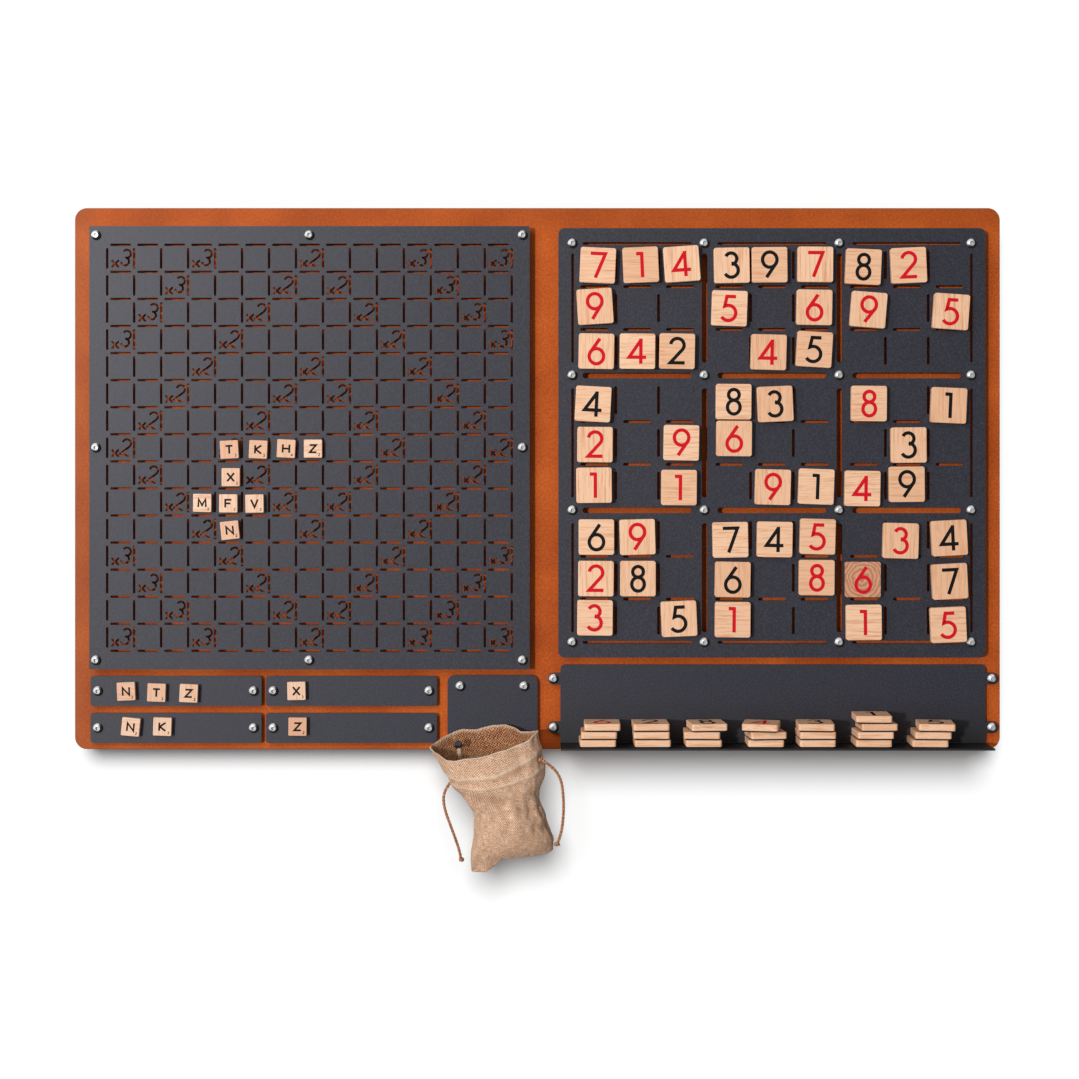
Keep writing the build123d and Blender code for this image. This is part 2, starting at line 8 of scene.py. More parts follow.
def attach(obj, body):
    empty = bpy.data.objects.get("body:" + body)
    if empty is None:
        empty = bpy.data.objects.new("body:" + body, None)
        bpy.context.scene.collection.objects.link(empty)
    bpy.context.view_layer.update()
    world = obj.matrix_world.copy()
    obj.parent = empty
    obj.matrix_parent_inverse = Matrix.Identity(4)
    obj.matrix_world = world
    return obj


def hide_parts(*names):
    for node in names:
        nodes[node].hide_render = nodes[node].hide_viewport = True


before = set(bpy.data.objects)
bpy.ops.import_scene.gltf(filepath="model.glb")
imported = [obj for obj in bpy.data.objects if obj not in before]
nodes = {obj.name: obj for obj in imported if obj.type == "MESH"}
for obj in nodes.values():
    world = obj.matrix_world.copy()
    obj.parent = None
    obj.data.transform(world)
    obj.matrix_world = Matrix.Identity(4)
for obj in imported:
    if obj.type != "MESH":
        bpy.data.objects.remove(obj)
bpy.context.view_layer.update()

# Places and sizes taken over from the model, in metres, with depth out from the wall.
MM = 0.001
board_front = 12 * MM
number_face = 30.6 * MM
grid_letter_face = 27.5 * MM
rack_letter_face = 22.5 * MM
hook_middles = (-84.4 * MM, -12.4 * MM)


# Camera at the photograph's viewing angle

photo_width = 1079
mm_per_pixel = 1.081
camera_distance = 1850 * MM
view_centre = (537.5, 480.0)
board_centre = (537.4, 478.6)


def add_camera():
    data = bpy.data.cameras.new("camera")
    camera = bpy.data.objects.new("camera", data)
    bpy.context.scene.collection.objects.link(camera)
    width_in_view = photo_width * mm_per_pixel * MM
    data.sensor_width = 36
    data.lens = data.sensor_width * camera_distance / width_in_view
    data.shift_x = (photo_width / 2 - view_centre[0]) / photo_width
    data.shift_y = (view_centre[1] - photo_width / 2) / photo_width
    x = (view_centre[0] - board_centre[0]) * mm_per_pixel * MM
    z = (board_centre[1] - view_centre[1]) * mm_per_pixel * MM
    camera.location = (x, -board_front - camera_distance, z)
    camera.rotation_euler = (math.radians(90), 0, 0)
    bpy.context.scene.camera = camera


add_camera()


# Node material helpers

def linear(red, green, blue):
    """Colour as read in the photograph, 0 to 255, made linear."""
    def channel(value):
        value /= 255
        return value / 12.92 if value <= 0.04045 else ((value + 0.055) / 1.055) ** 2.4
    return (channel(red), channel(green), channel(blue), 1)


class Shader:
    """A Principled material and short ways to add nodes to it."""

    def __init__(self, name, roughness=0.6, metallic=0.0, specular=0.5):
        self.material = bpy.data.materials.new(name)
        self.material.use_nodes = True
        self.tree = self.material.node_tree
        self.surface = self.tree.nodes["Principled BSDF"]
        self.surface.inputs["Roughness"].default_value = roughness
        self.surface.inputs["Metallic"].default_value = metallic
        self.surface.inputs["Specular IOR Level"].default_value = specular

    def node(self, kind, inputs=None, **settings):
        made = self.tree.nodes.new("ShaderNode" + kind)
        for name, value in settings.items():
            setattr(made, name, value)
        for name, value in (inputs or {}).items():
            if isinstance(value, bpy.types.NodeSocket):
                self.tree.links.new(value, made.inputs[name])
            else:
                made.inputs[name].default_value = value
        return made

    def place(self):
        return self.node("TexCoord").outputs["Object"]

    def math(self, operation, first, second=0.0):
        return self.node("Math", {0: first, 1: second}, operation=operation).outputs[0]

    def noise(self, vector, scale, detail=3.0, roughness=0.55):
        made = self.node("TexNoise", {"Vector": vector, "Scale": scale, "Detail": detail,
                                      "Roughness": roughness})
        return made.outputs["Fac"]

    def stretched(self, vector, scales):
        return self.node("Mapping", {"Vector": vector, "Scale": scales}).outputs["Vector"]

    def ramp(self, factor, stops):
        made = self.node("ValToRGB", {"Fac": factor})
        elements = made.color_ramp.elements
        while len(elements) < len(stops):
            elements.new(0.5)
        for element, (position, colour) in zip(elements, stops):
            element.position = position
            element.color = colour
        return made.outputs["Color"]

    def mix(self, factor, first, second, blend="MIX"):
        made = self.node("Mix", data_type="RGBA", blend_type=blend)
        for socket, value in zip((made.inputs[0], made.inputs[6], made.inputs[7]), (factor, first, second)):
            if isinstance(value, bpy.types.NodeSocket):
                self.tree.links.new(value, socket)
            else:
                socket.default_value = value
        return made.outputs[2]

    def bump(self, height, distance, strength=1.0, before=None):
        inputs = {"Height": height, "Distance": distance, "Strength": strength}
        if before:
            inputs["Normal"] = before
        return self.node("Bump", inputs).outputs["Normal"]

    def colour(self, socket):
        self.tree.links.new(socket, self.surface.inputs["Base Color"])

    def normal(self, socket):
        self.tree.links.new(socket, self.surface.inputs["Normal"])

    def fade(self, value, start, end, low=0.0, high=1.0):
        """Straight change from low at start to high at end, held beyond them."""
        made = self.node("MapRange", {"Value": value, "From Min": start, "From Max": end,
                                      "To Min": low, "To Max": high})
        return made.outputs[0]

    def axes(self, vector):
        """The X, Y and Z outputs of a vector."""
        split = self.node("SeparateXYZ", {"Vector": vector})
        return [split.outputs[axis] for axis in "XYZ"]

    def rough(self, factor, low, high):
        self.tree.links.new(self.fade(factor, 0.0, 1.0, low, high), self.surface.inputs["Roughness"])

    def grey(self, value):
        return (value, value, value, 1)


# Where the stain fades at the left end, where the board darkens towards the top, and where painted shade
# deepens on the tray towards its shelf, along X or Z
stain_left, stain_left_end = -500 * MM, -470 * MM
darker_top_start, darker_top_full = 262 * MM, 282 * MM
tray_shade_start, tray_shelf = -235 * MM, -284 * MM
# Share of the normal along Y at which a face counts as the side or as the front or back
side_facing = 0.6
flat_facing = 0.95


def backing_material():
    """Rust stain, duller at the left end, with darker cut sides and a darker, duller back; the face also grows
    darker towards the top.
    """
    s = Shader("rust_board", roughness=0.7, specular=0.14)
    place = s.place()
    broad = s.noise(place, 14, 4)
    fine = s.noise(place, 420, 3, 0.7)
    speck = s.noise(place, 1100, 2, 0.6)
    tone = s.math("ADD", s.math("MULTIPLY", broad, 0.45), s.math("MULTIPLY", fine, 0.55))
    base = s.ramp(tone, [(0.36, linear(150, 62, 14)), (0.5, linear(178, 80, 23)),
                         (0.64, linear(202, 98, 35))])
    base = s.mix(s.math("MULTIPLY", speck, 0.22), base, linear(126, 50, 14))
    x, _, z = s.axes(place)
    base = s.mix(s.fade(x, stain_left, stain_left_end, 0.45, 0.0), base, linear(128, 82, 58))
    # Darker towards the top of the board.
    base = s.mix(s.fade(z, darker_top_start, darker_top_full, 0.0, 0.35), base, linear(128, 60, 20))
    facing = s.axes(s.node("NewGeometry").outputs["Normal"])[1]
    side = s.fade(s.math("ABSOLUTE", facing), flat_facing, side_facing)
    base = s.mix(side, base, linear(92, 44, 22))
    behind = s.fade(facing, side_facing, flat_facing, 0.0, 0.6)
    base = s.mix(behind, base, linear(92, 70, 58))
    s.colour(base)
    s.rough(fine, 0.5, 0.75)
    s.normal(s.bump(fine, 0.00025, 0.5))
    return s.material


def plate_material(name, shelf_painted_shade=0.0):
    """Textured black coat. shelf_painted_shade paints shade that deepens it towards the tray's shelf, where
    the stacked tiles shade it.
    """
    s = Shader(name, roughness=0.48, specular=0.5)
    place = s.place()
    grain = s.noise(place, 700, 3, 0.7)
    cloud = s.noise(place, 9, 3)
    base = s.ramp(grain, [(0.34, linear(13, 13, 20)), (0.5, linear(28, 28, 40)), (0.66, linear(49, 49, 66))])
    base = s.mix(s.math("MULTIPLY", cloud, 0.25), base, linear(27, 27, 41))
    # Painted shade: darker low down on the tray towards its shelf, where the stacks shade it.
    painted_shelf_shade = s.fade(s.axes(place)[2], tray_shade_start, tray_shelf, 0.0, shelf_painted_shade)
    base = s.mix(painted_shelf_shade, base, linear(7, 7, 9))
    s.colour(base)
    s.rough(grain, 0.42, 0.62)
    s.normal(s.bump(grain, 0.00026, 0.7))
    return s.material


def steel_material(name, tone, roughness):
    s = Shader(name, roughness=roughness, metallic=1.0)
    turned = s.noise(s.stretched(s.place(), (900, 900, 140)), 1, 2)
    s.colour(s.ramp(turned, [(0.3, s.grey(tone * 0.8)), (0.7, s.grey(tone))]))
    s.normal(s.bump(turned, 0.00003, 0.4))
    return s.material


def screw_material():
    """Steel with painted shading: its colour paints the domed head dark on the side away from the lamps and
    paints a highlight on the side towards them.
    """
    s = Shader("steel_painted_shading", roughness=0.25, metallic=0.55)
    lamp_way = (-0.45, -0.75, 0.48)
    normal = s.node("NewGeometry").outputs["Normal"]
    facing = s.node("VectorMath", {0: normal, 1: lamp_way}, operation="DOT_PRODUCT").outputs["Value"]
    # Painted shade and painted highlight, set by how far each face turns towards the lamps.
    s.colour(s.ramp(facing, [(0.45, s.grey(0.03)), (0.66, s.grey(0.25)), (0.80, s.grey(1.0))]))
    return s.material


def rubber_material(name, low, high):
    s = Shader(name, roughness=0.75, specular=0.3)
    grain = s.noise(s.place(), 700, 2)
    s.colour(s.ramp(grain, [(0.3, linear(low, low, low + 2)), (0.7, linear(high, high, high + 2))]))
    s.normal(s.bump(grain, 0.0001, 0.4))
    return s.material


# Beech: streaks to the metre along and across the grain, and the tile with figured grain
grain_along = 26
grain_across = 520
pore_scale = 3.1
pore_limit = 0.64
upright_above = 0.45
figured_tile = (348.7 * MM, -30.6 * MM, -108.1 * MM)
figured_reach = 22 * MM
ring_rate = 1500
ring_wobble = 10 * MM


def wood_material(name, light, dark, along, knot_at=None, variety=0.45):
    """Sanded beech. along is the grain's way: 'any' turns it by tile, 'x' keeps it level."""
    s = Shader(name, roughness=0.55, specular=0.35)
    x, y, z = s.axes(s.place())
    chance = s.node("Attribute", attribute_name="tile_chance").outputs["Fac"]

    def grain_way(x_rate, z_rate):
        return s.node("CombineXYZ", {0: s.math("MULTIPLY", x, x_rate), 1: s.math("MULTIPLY", y, grain_across),
                                     2: s.math("MULTIPLY", z, z_rate)}).outputs[0]

    way = grain_way(grain_along, grain_across)
    if along == "any":
        turned = s.math("GREATER_THAN", chance, upright_above)
        made = s.node("Mix", data_type="VECTOR")
        ways = (turned, way, grain_way(grain_across, grain_along))
        for socket, value in zip((made.inputs[0], made.inputs[4], made.inputs[5]), ways):
            s.tree.links.new(value, socket)
        way = made.outputs[1]
    moved = s.node("CombineXYZ", {0: s.math("MULTIPLY", chance, 37.0), 1: s.math("MULTIPLY", chance, 11.0)})
    way = s.node("VectorMath", {0: way, 1: moved.outputs[0]}, operation="ADD").outputs[0]
    streak = s.noise(way, 1, 4, 0.6)
    pore = s.noise(way, pore_scale, 2, 0.5)
    base = s.ramp(streak, [(0.3, dark), (0.52, light), (0.75, light)])
    own = s.math("FRACT", s.math("MULTIPLY", chance, 7.31))
    base = s.mix(s.math("MULTIPLY", own, variety), base, dark)
    pores = s.math("GREATER_THAN", pore, pore_limit)
    base = s.mix(s.math("MULTIPLY", pores, 0.38), base, linear(168, 108, 72))
    if knot_at:
        centre = s.node("VectorMath", {0: s.place(), 1: knot_at}, operation="SUBTRACT").outputs[0]
        off_x, _, off_z = s.axes(centre)
        inside = s.math("MULTIPLY",
                        s.math("LESS_THAN", s.math("ABSOLUTE", off_x), figured_reach),
                        s.math("LESS_THAN", s.math("ABSOLUTE", off_z), figured_reach))
        far = s.node("VectorMath", {0: centre}, operation="LENGTH").outputs["Value"]
        wobble = s.math("MULTIPLY", s.noise(s.place(), 90, 2), ring_wobble)
        rings = s.math("SINE", s.math("MULTIPLY", s.math("ADD", far, wobble), ring_rate))
        knotty = s.ramp(s.math("ADD", s.math("MULTIPLY", rings, 0.35), 0.5),
                        [(0.1, linear(150, 92, 66)), (0.9, linear(206, 146, 112))])
        base = s.mix(s.math("MULTIPLY", inside, 0.85), base, knotty)
    s.colour(base)
    s.normal(s.bump(streak, 0.0001, 0.5))
    return s.material


def ink_material(name, colour):
    s = Shader(name, roughness=0.6, specular=0.12)
    wear = s.noise(s.place(), 600, 3, 0.7)
    worn = tuple(min(1.0, part * 1.3 + 0.004) for part in colour[:3]) + (1,)
    s.colour(s.ramp(wear, [(0.35, colour), (0.8, worn)]))
    return s.material


# Burlap, in millimetres of cloth
thread_pitch = 2.3
thread_wander = 2.4
pale_thread_limit = 0.655


def burlap_material(name, low, middle, high):
    """Open plain weave, its threads set out by the cloth's own lengths in millimetres."""
    s = Shader(name, roughness=0.92, specular=0.15)
    cloth = s.node("UVMap", uv_map="cloth").outputs["UV"]
    u, v, _ = s.axes(cloth)
    thread = 2 * math.pi / thread_pitch
    wander = s.math("MULTIPLY", s.noise(cloth, 0.22, 2), thread_wander)
    across = s.math("SINE", s.math("MULTIPLY", s.math("ADD", u, wander), thread))
    down = s.math("SINE", s.math("MULTIPLY", s.math("ADD", v, wander), thread))
    over = s.math("MULTIPLY", across, down)
    weft = s.noise(s.stretched(cloth, (0.12, 1.1, 1)), 1, 3, 0.7)
    warp = s.noise(s.stretched(cloth, (1.1, 0.12, 1)), 1, 3, 0.7)
    slub = s.math("MULTIPLY", s.math("ADD", weft, warp), 0.5)
    tone = s.math("ADD", s.math("MULTIPLY", slub, 0.72), s.math("MULTIPLY", s.math("ADD", over, 1.0), 0.14))
    base = s.ramp(tone, [(0.42, low), (0.5, middle), (0.59, high)])
    pale = s.math("GREATER_THAN", s.math("MAXIMUM", weft, warp), pale_thread_limit)
    base = s.mix(s.math("MULTIPLY", pale, 0.45), base, linear(250, 228, 204))
    seam = s.node("Attribute", attribute_name="seam").outputs["Fac"]
    base = s.mix(s.math("MULTIPLY", seam, 0.6), base, linear(244, 222, 198))
    # Painted shade: darker in the cloth's inward folds and along the hem's middle fold.
    shade = s.node("Attribute", attribute_name="crease").outputs["Fac"]
    base = s.mix(s.math("MULTIPLY", shade, 0.25), base, linear(172, 118, 80))
    s.colour(base)
    s.normal(s.bump(over, 0.0005, 0.9, s.bump(slub, 0.0012, 0.8)))
    return s.material


def jute_material():
    s = Shader("jute", roughness=0.9, specular=0.15)
    fibre = s.noise(s.stretched(s.place(), (900, 900, 300)), 1, 4, 0.7)
    s.colour(s.ramp(fibre, [(0.38, linear(112, 64, 38)), (0.62, linear(204, 148, 106))]))
    s.normal(s.bump(fibre, 0.0004, 0.9))
    return s.material


plate_look = plate_material("black_powder_coat")
pale_beech = linear(233, 190, 156)
warm_beech = linear(204, 147, 106)
cream_beech = linear(225, 190, 162)
cream_shade = linear(204, 150, 118)
looks = {
    # The tray's coat carries painted shade towards its shelf.
    "number_tray": plate_material("tray_coat_painted_shade", shelf_painted_shade=0.85),
    "backing_board": backing_material(),
    "wall_hangers": steel_material("zinc_plate", 0.62, 0.38),
    "hanger_screws": steel_material("zinc_screw", 0.55, 0.32),
    "screws": screw_material(),
    "sleeves": rubber_material("black_sleeve", 18, 34),
    "magnets": rubber_material("magnet_sheet", 26, 44),
    "laid_numbers": wood_material("number_beech", pale_beech, warm_beech, "any", figured_tile),
    "stacked_numbers": wood_material("stack_beech", pale_beech, warm_beech, "x"),
    "letters": wood_material("letter_beech", cream_beech, cream_shade, "any", variety=0.9),
    "burlap": burlap_material("burlap", linear(164, 106, 70), linear(234, 184, 146), linear(255, 230, 204)),
    # A darker copy of the burlap for the inside of the bag: painted shade, as the inside is out of the lamps'
    # light.
    "burlap_inside_painted_shade": burlap_material("burlap_inside_painted_shade", linear(100, 58, 36), linear(156, 102, 68),
                                     linear(200, 148, 108)),
    "jute": jute_material(),
    "red": ink_material("red_print", linear(190, 10, 24)),
    "black": ink_material("black_print", linear(12, 9, 10)),
}


def look_of(name):
    if name in looks:
        return looks[name]
    if "screws" in name:
        return looks["screws"]
    if "sleeves" in name:
        return looks["sleeves"]
    if "magnets" in name:
        return looks["magnets"]
    if name.startswith("number_tiles"):
        return looks["laid_numbers"]
    if name.startswith("spare_stack"):
        return looks["stacked_numbers"]
    if name.endswith("_tiles"):
        return looks["letters"]
    return plate_look


for name, node in nodes.items():
    node.data.materials.clear()
    node.data.materials.append(look_of(name))


def add_mesh(name, points, faces, materials, smooth=True):
    mesh = bpy.data.meshes.new(name)
    mesh.from_pydata(points, [], faces)
    for material in materials:
        mesh.materials.append(material)
    mesh.polygons.foreach_set("use_smooth", [smooth] * len(mesh.polygons))
    thing = bpy.data.objects.new(name, mesh)
    bpy.context.scene.collection.objects.link(thing)
    return thing


# Where each tile lies, read from the model

def island_numbers(mesh):
    """Place of each vertex, and the number of the separate solid that it is on."""
    points = np.empty(len(mesh.vertices) * 3)
    mesh.vertices.foreach_get("co", points)
    points = points.reshape(-1, 3)
    keys = [tuple(np.round(point, 6)) for point in points]
    owner = {key: key for key in keys}

    def root(key):
        while owner[key] != key:
            owner[key] = owner[owner[key]]
            key = owner[key]
        return key

    for edge in mesh.edges:
        first, second = (root(keys[index]) for index in edge.vertices)
        owner[first] = second
    roots = [root(key) for key in keys]
    order = {key: number for number, key in enumerate(sorted(set(roots)))}
    return points, np.array([order[key] for key in roots])


def islands(node):
    """Lists of points, one for each separate solid of a node."""
    points, numbers = island_numbers(node.data)
    return [points[numbers == number] for number in range(numbers.max() + 1)]


def mark_tiles(node, start):
    """Gives each tile of a node its own chance value, for its grain and tone."""
    numbers = island_numbers(node.data)[1]
    chances = (start + 0.618 * numbers + 0.07 * numbers ** 2) % 1.0
    mark = node.data.attributes.new("tile_chance", "FLOAT", "POINT")
    mark.data.foreach_set("value", chances)


wooden = [name for name in nodes
          if name.startswith(("number_tiles", "spare_stack")) or name.endswith("_tiles")]
for count, name in enumerate(sorted(wooden)):
    mark_tiles(nodes[name], 0.29 * count)


def square_fit(flat):
    """Middle and turn of the smallest square box round some flat points."""
    best = None
    for step in range(-80, 81):
        turn = math.radians(step / 4)
        c, s = math.cos(turn), math.sin(turn)
        rotated = flat @ np.array([[c, -s], [s, c]])
        low, high = rotated.min(axis=0), rotated.max(axis=0)
        area = np.prod(high - low)
        if best is None or area < best[0]:
            middle = (low + high) / 2 @ np.array([[c, s], [-s, c]])
            best = (area, middle, turn)
    return best[1], best[2]


# Printed figures, drawn as flat strokes

def arc(x, y, radius, start, end, steps=26, squeeze=1.0):
    angles = np.radians(np.linspace(start, end, steps))
    return [(x + radius * squeeze * math.cos(a), y + radius * math.sin(a)) for a in angles]


SIX = [arc(0, -0.2, 0.3, 158, 158 - 360, 40, 0.95)[:-1] + [arc(0, -0.2, 0.3, 158, 157, 2, 0.95)[0]],
       [(0.13, 0.5), (-0.268, -0.085)]]
FIGURES = {
    1: [[(-0.17, 0.44), (0.05, 0.44)], [(0.05, 0.5), (0.05, -0.5)]],
    2: [arc(0, 0.235, 0.265, 172, -38) + [(-0.27, -0.46), (0.3, -0.46)]],
    3: [arc(-0.03, 0.255, 0.225, 155, -85), arc(-0.03, -0.2, 0.275, 88, -152)],
    4: [[(0.13, -0.5), (0.13, 0.5)], [(0.13, 0.44), (-0.33, -0.24), (0.34, -0.24)]],
    5: [[(0.24, 0.46), (-0.12, 0.46)] + arc(-0.05, -0.19, 0.3, 118, -148)],
    6: SIX,
    7: [[(-0.3, 0.46), (0.28, 0.46), (-0.08, -0.5)]],
    8: [arc(0, 0.27, 0.21, 0, 360, 36), arc(0, -0.22, 0.27, 0, 360, 40, 0.92)],
    9: [[(-x, -y) for x, y in stroke] for stroke in SIX],
}
LETTERS = {
    "T": [[(-0.42, 0.44), (0.42, 0.44)], [(0, 0.44), (0, -0.5)]],
    "K": [[(-0.36, 0.5), (-0.36, -0.5)], [(0.38, 0.5), (-0.3, 0), (0.4, -0.5)]],
    "H": [[(-0.4, 0.5), (-0.4, -0.5)], [(0.4, 0.5), (0.4, -0.5)], [(-0.4, 0), (0.4, 0)]],
    "Z": [[(-0.4, 0.44), (0.38, 0.44), (-0.38, -0.44), (0.42, -0.44)]],
    "X": [[(-0.42, 0.5), (0.42, -0.5)], [(0.42, 0.5), (-0.42, -0.5)]],
    "F": [[(0.4, 0.44), (-0.36, 0.44), (-0.36, -0.5)], [(-0.36, 0), (0.26, 0)]],
    "N": [[(-0.4, -0.5), (-0.4, 0.46), (0.4, -0.46), (0.4, 0.5)]],
    "M": [[(-0.46, -0.5), (-0.42, 0.46), (0, -0.3), (0.42, 0.46), (0.46, -0.5)]],
    "V": [[(-0.42, 0.5), (0, -0.46), (0.42, 0.5)]],
}


def ribbon(stroke, half):
    """Left and right edge points of a stroke with mitred corners."""
    line = np.array(stroke, float)
    way = np.diff(line, axis=0)
    way /= np.linalg.norm(way, axis=1)[:, None]
    closed = np.allclose(line[0], line[-1])
    edges = []
    for i, point in enumerate(line):
        before = way[i - 1] if i or closed else way[0]
        after = way[i] if i < len(way) else (way[0] if closed else way[-1])
        normal = np.array([-(before[1] + after[1]), before[0] + after[0]])
        normal /= np.linalg.norm(normal)
        reach = half / max(0.42, float(normal @ np.array([-before[1], before[0]])))
        edges.append((point + normal * reach, point - normal * reach))
    return edges


# Ink stands this far off the wood, and each later stroke a little further
ink_lift = 0.03 * MM
layer_lift = 0.012 * MM


class Print:
    """Collects the strokes of many figures, then makes one mesh of them."""

    def __init__(self):
        self.points = []
        self.faces = []
        self.slots = []

    def figure(self, strokes, place, height, weight, slot=0):
        scale = height - weight
        for layer, stroke in enumerate(strokes):
            lift = ink_lift + layer_lift * layer
            sized = [(x * scale, y * scale) for x, y in stroke]
            start = len(self.points)
            for left, right in ribbon(sized, weight / 2):
                self.points += [place @ Vector((*left, lift)), place @ Vector((*right, lift))]
            for i in range(len(stroke) - 1):
                a = start + 2 * i
                self.faces.append((a, a + 1, a + 3, a + 2))
                self.slots.append(slot)

    def make(self, name, body, materials):
        thing = add_mesh(name, self.points, self.faces, materials, smooth=False)
        thing.data.polygons.foreach_set("material_index", self.slots)
        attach(thing, body)
        return thing


def facing_place(x, z, depth, turn):
    """Local x right, local y up, local z out of the wall."""
    axes = Matrix(((1, 0, 0, x), (0, 0, -1, -depth), (0, 1, 0, z), (0, 0, 0, 1)))
    return axes @ Matrix.Rotation(turn, 4, "Z")


# Digit colours by cell: R red, B black, rows from the top
CELL_INKS = ["RRRBBRBR.", "R..R.RR.R", "RRB.RB...", "B..BB.R.B", "R.RR...B.",
             "R.R.RBRB.", "BR.BBR.RB", "RB.B.RR.B", "R.BR..R.R"]
number_middle = (252.2 * MM, 38.4 * MM)
cell_steps = [(block * 145 + cell * 46) * MM for block in (-1, 0, 1) for cell in (-1, 0, 1)]


def cell_ink(x, z):
    column = min(range(9), key=lambda i: abs(cell_steps[i] - (x - number_middle[0])))
    row = min(range(9), key=lambda i: abs(cell_steps[i] + (z - number_middle[1])))
    return 1 if CELL_INKS[row][column] == "B" else 0


inks = [looks["red"], looks["black"]]
digit_height = 30.8 * MM
digit_weight = 3.7 * MM
letter_height = 10.8 * MM
letter_weight = 2.0 * MM
corner_height = 3.2 * MM
corner_weight = 0.6 * MM
corner_place = (6.6 * MM, -6.4 * MM, 0)
for digit in range(1, 10):
    sheet = Print()
    for group in islands(nodes[f"number_tiles_{digit}"]):
        middle, turn = square_fit(group[:, [0, 2]])
        place = facing_place(middle[0], middle[1], number_face, turn)
        sheet.figure(FIGURES[digit], place, digit_height, digit_weight, cell_ink(*middle))
    sheet.make(f"printed_digit_{digit}", f"number_{digit}", inks)

STACK_TOPS = [(6, 0), (2, 1), (8, 1), (4, 0), (3, 1), (1, 1), (5, 1)]
for number, (digit, ink) in enumerate(STACK_TOPS, start=1):
    group = max(islands(nodes[f"spare_stack_{number}"]), key=lambda points: points[:, 2].max())
    middle, turn = square_fit(group[:, :2])
    top = Matrix.Translation((middle[0], middle[1], group[:, 2].max())) @ Matrix.Rotation(turn, 4, "Z")
    sheet = Print()
    sheet.figure(FIGURES[digit], top, digit_height, digit_weight, ink)
    sheet.make(f"printed_spare_{number}", f"stack_{number}", inks)

LETTER_SETS = [
    ("grid_letter", "TKHZXMFVN", grid_letter_face),
    ("upper_rack", "NXTZ", rack_letter_face),
    ("lower_rack", "NKZ", rack_letter_face),
]
for group_name, letters, depth in LETTER_SETS:
    sheet = Print()
    groups = islands(nodes[f"{group_name}_tiles"])
    groups.sort(key=lambda points: (round(-points[:, 2].mean() / (20 * MM)), points[:, 0].mean()))
    for letter, group in zip(letters, groups):
        middle, turn = square_fit(group[:, [0, 2]])
        place = facing_place(middle[0], middle[1], depth, turn)
        sheet.figure(LETTERS[letter], place, letter_height, letter_weight)
        corner = place @ Matrix.Translation(corner_place)
        sheet.figure(FIGURES[1 + len(LETTERS[letter])], corner, corner_height, corner_weight)
    sheet.make(f"printed_{group_name}s", f"{group_name}s", [looks["black"]])


# Cloth bag: foot, waist and open mouth, lofted over the model's sections

BAG_SECTIONS = [
    (-27, 38, -404.5, 44.5, 7, 12, 0),
    (-27, 39, -392, 44.5, 18, 9, 0),
    (-28, 41, -372, 40, 21, 6, 0),
    (-31, 42, -354, 36.5, 20, 4, 0),
    (-38.5, 43, -337, 41, 22, 2, 4),
    (-44.5, 44, -315, 51.5, 24.5, 6, 12),
    (-53.5, 45, -279, 60, 26.5, 10.5, 22),
]
# How far the rim stands above the top section, by angle from the right side towards the back
RIM_RISE = [(0, 2), (30, -5), (50, -7), (70, 1), (85, 3), (100, 1), (115, 5), (135, 4), (160, 2), (180, 4),
            (200, 2), (225, -3), (250, -1.5), (280, -0.5), (310, 1.5), (335, 3.5), (360, 2)]
# How far the foot hangs below or above its section, by share of its half width from the left
FOOT_RISE = [(-1, -4), (-0.62, -7), (-0.2, 2), (0.35, -0.5), (0.8, -1.5), (1, 0)]
# Rows of the hem and the rim, by share of the way up
upper_seam, hem_middle, lower_seam, rim_row = 0.845, 0.81, 0.775, 0.995
rim_pull = 6.5
around = 224
up = 132
sheet_front = 18.6
cloth_round = 270
bag_thickness = 1.1 * MM
# Slits for the hooks, in millimetres, and the light patch of cloth under the left one
slit_depth = 35
slit_foot, slit_head = -289.5, -284.4
slit_half_width = 3.7
patch_foot = -297
patch_half_width = 1.7
patch_light = 1.5


def spline_rows(rows, share):
    """Catmull-Rom value of a table of rows at a share from 0 to 1."""
    rows = np.array(rows, float)
    t = share * (len(rows) - 1)
    i = min(int(t), len(rows) - 2)
    f = t - i
    p = [rows[max(0, min(len(rows) - 1, i + k))] for k in (-1, 0, 1, 2)]
    return 0.5 * (2 * p[1] + (p[2] - p[0]) * f + (2 * p[0] - 5 * p[1] + 4 * p[2] - p[3]) * f * f
                  + (3 * p[1] - p[0] - 3 * p[2] + p[3]) * f ** 3)


def bell(value, middle, width):
    return math.exp(-((value - middle) / width) ** 2)


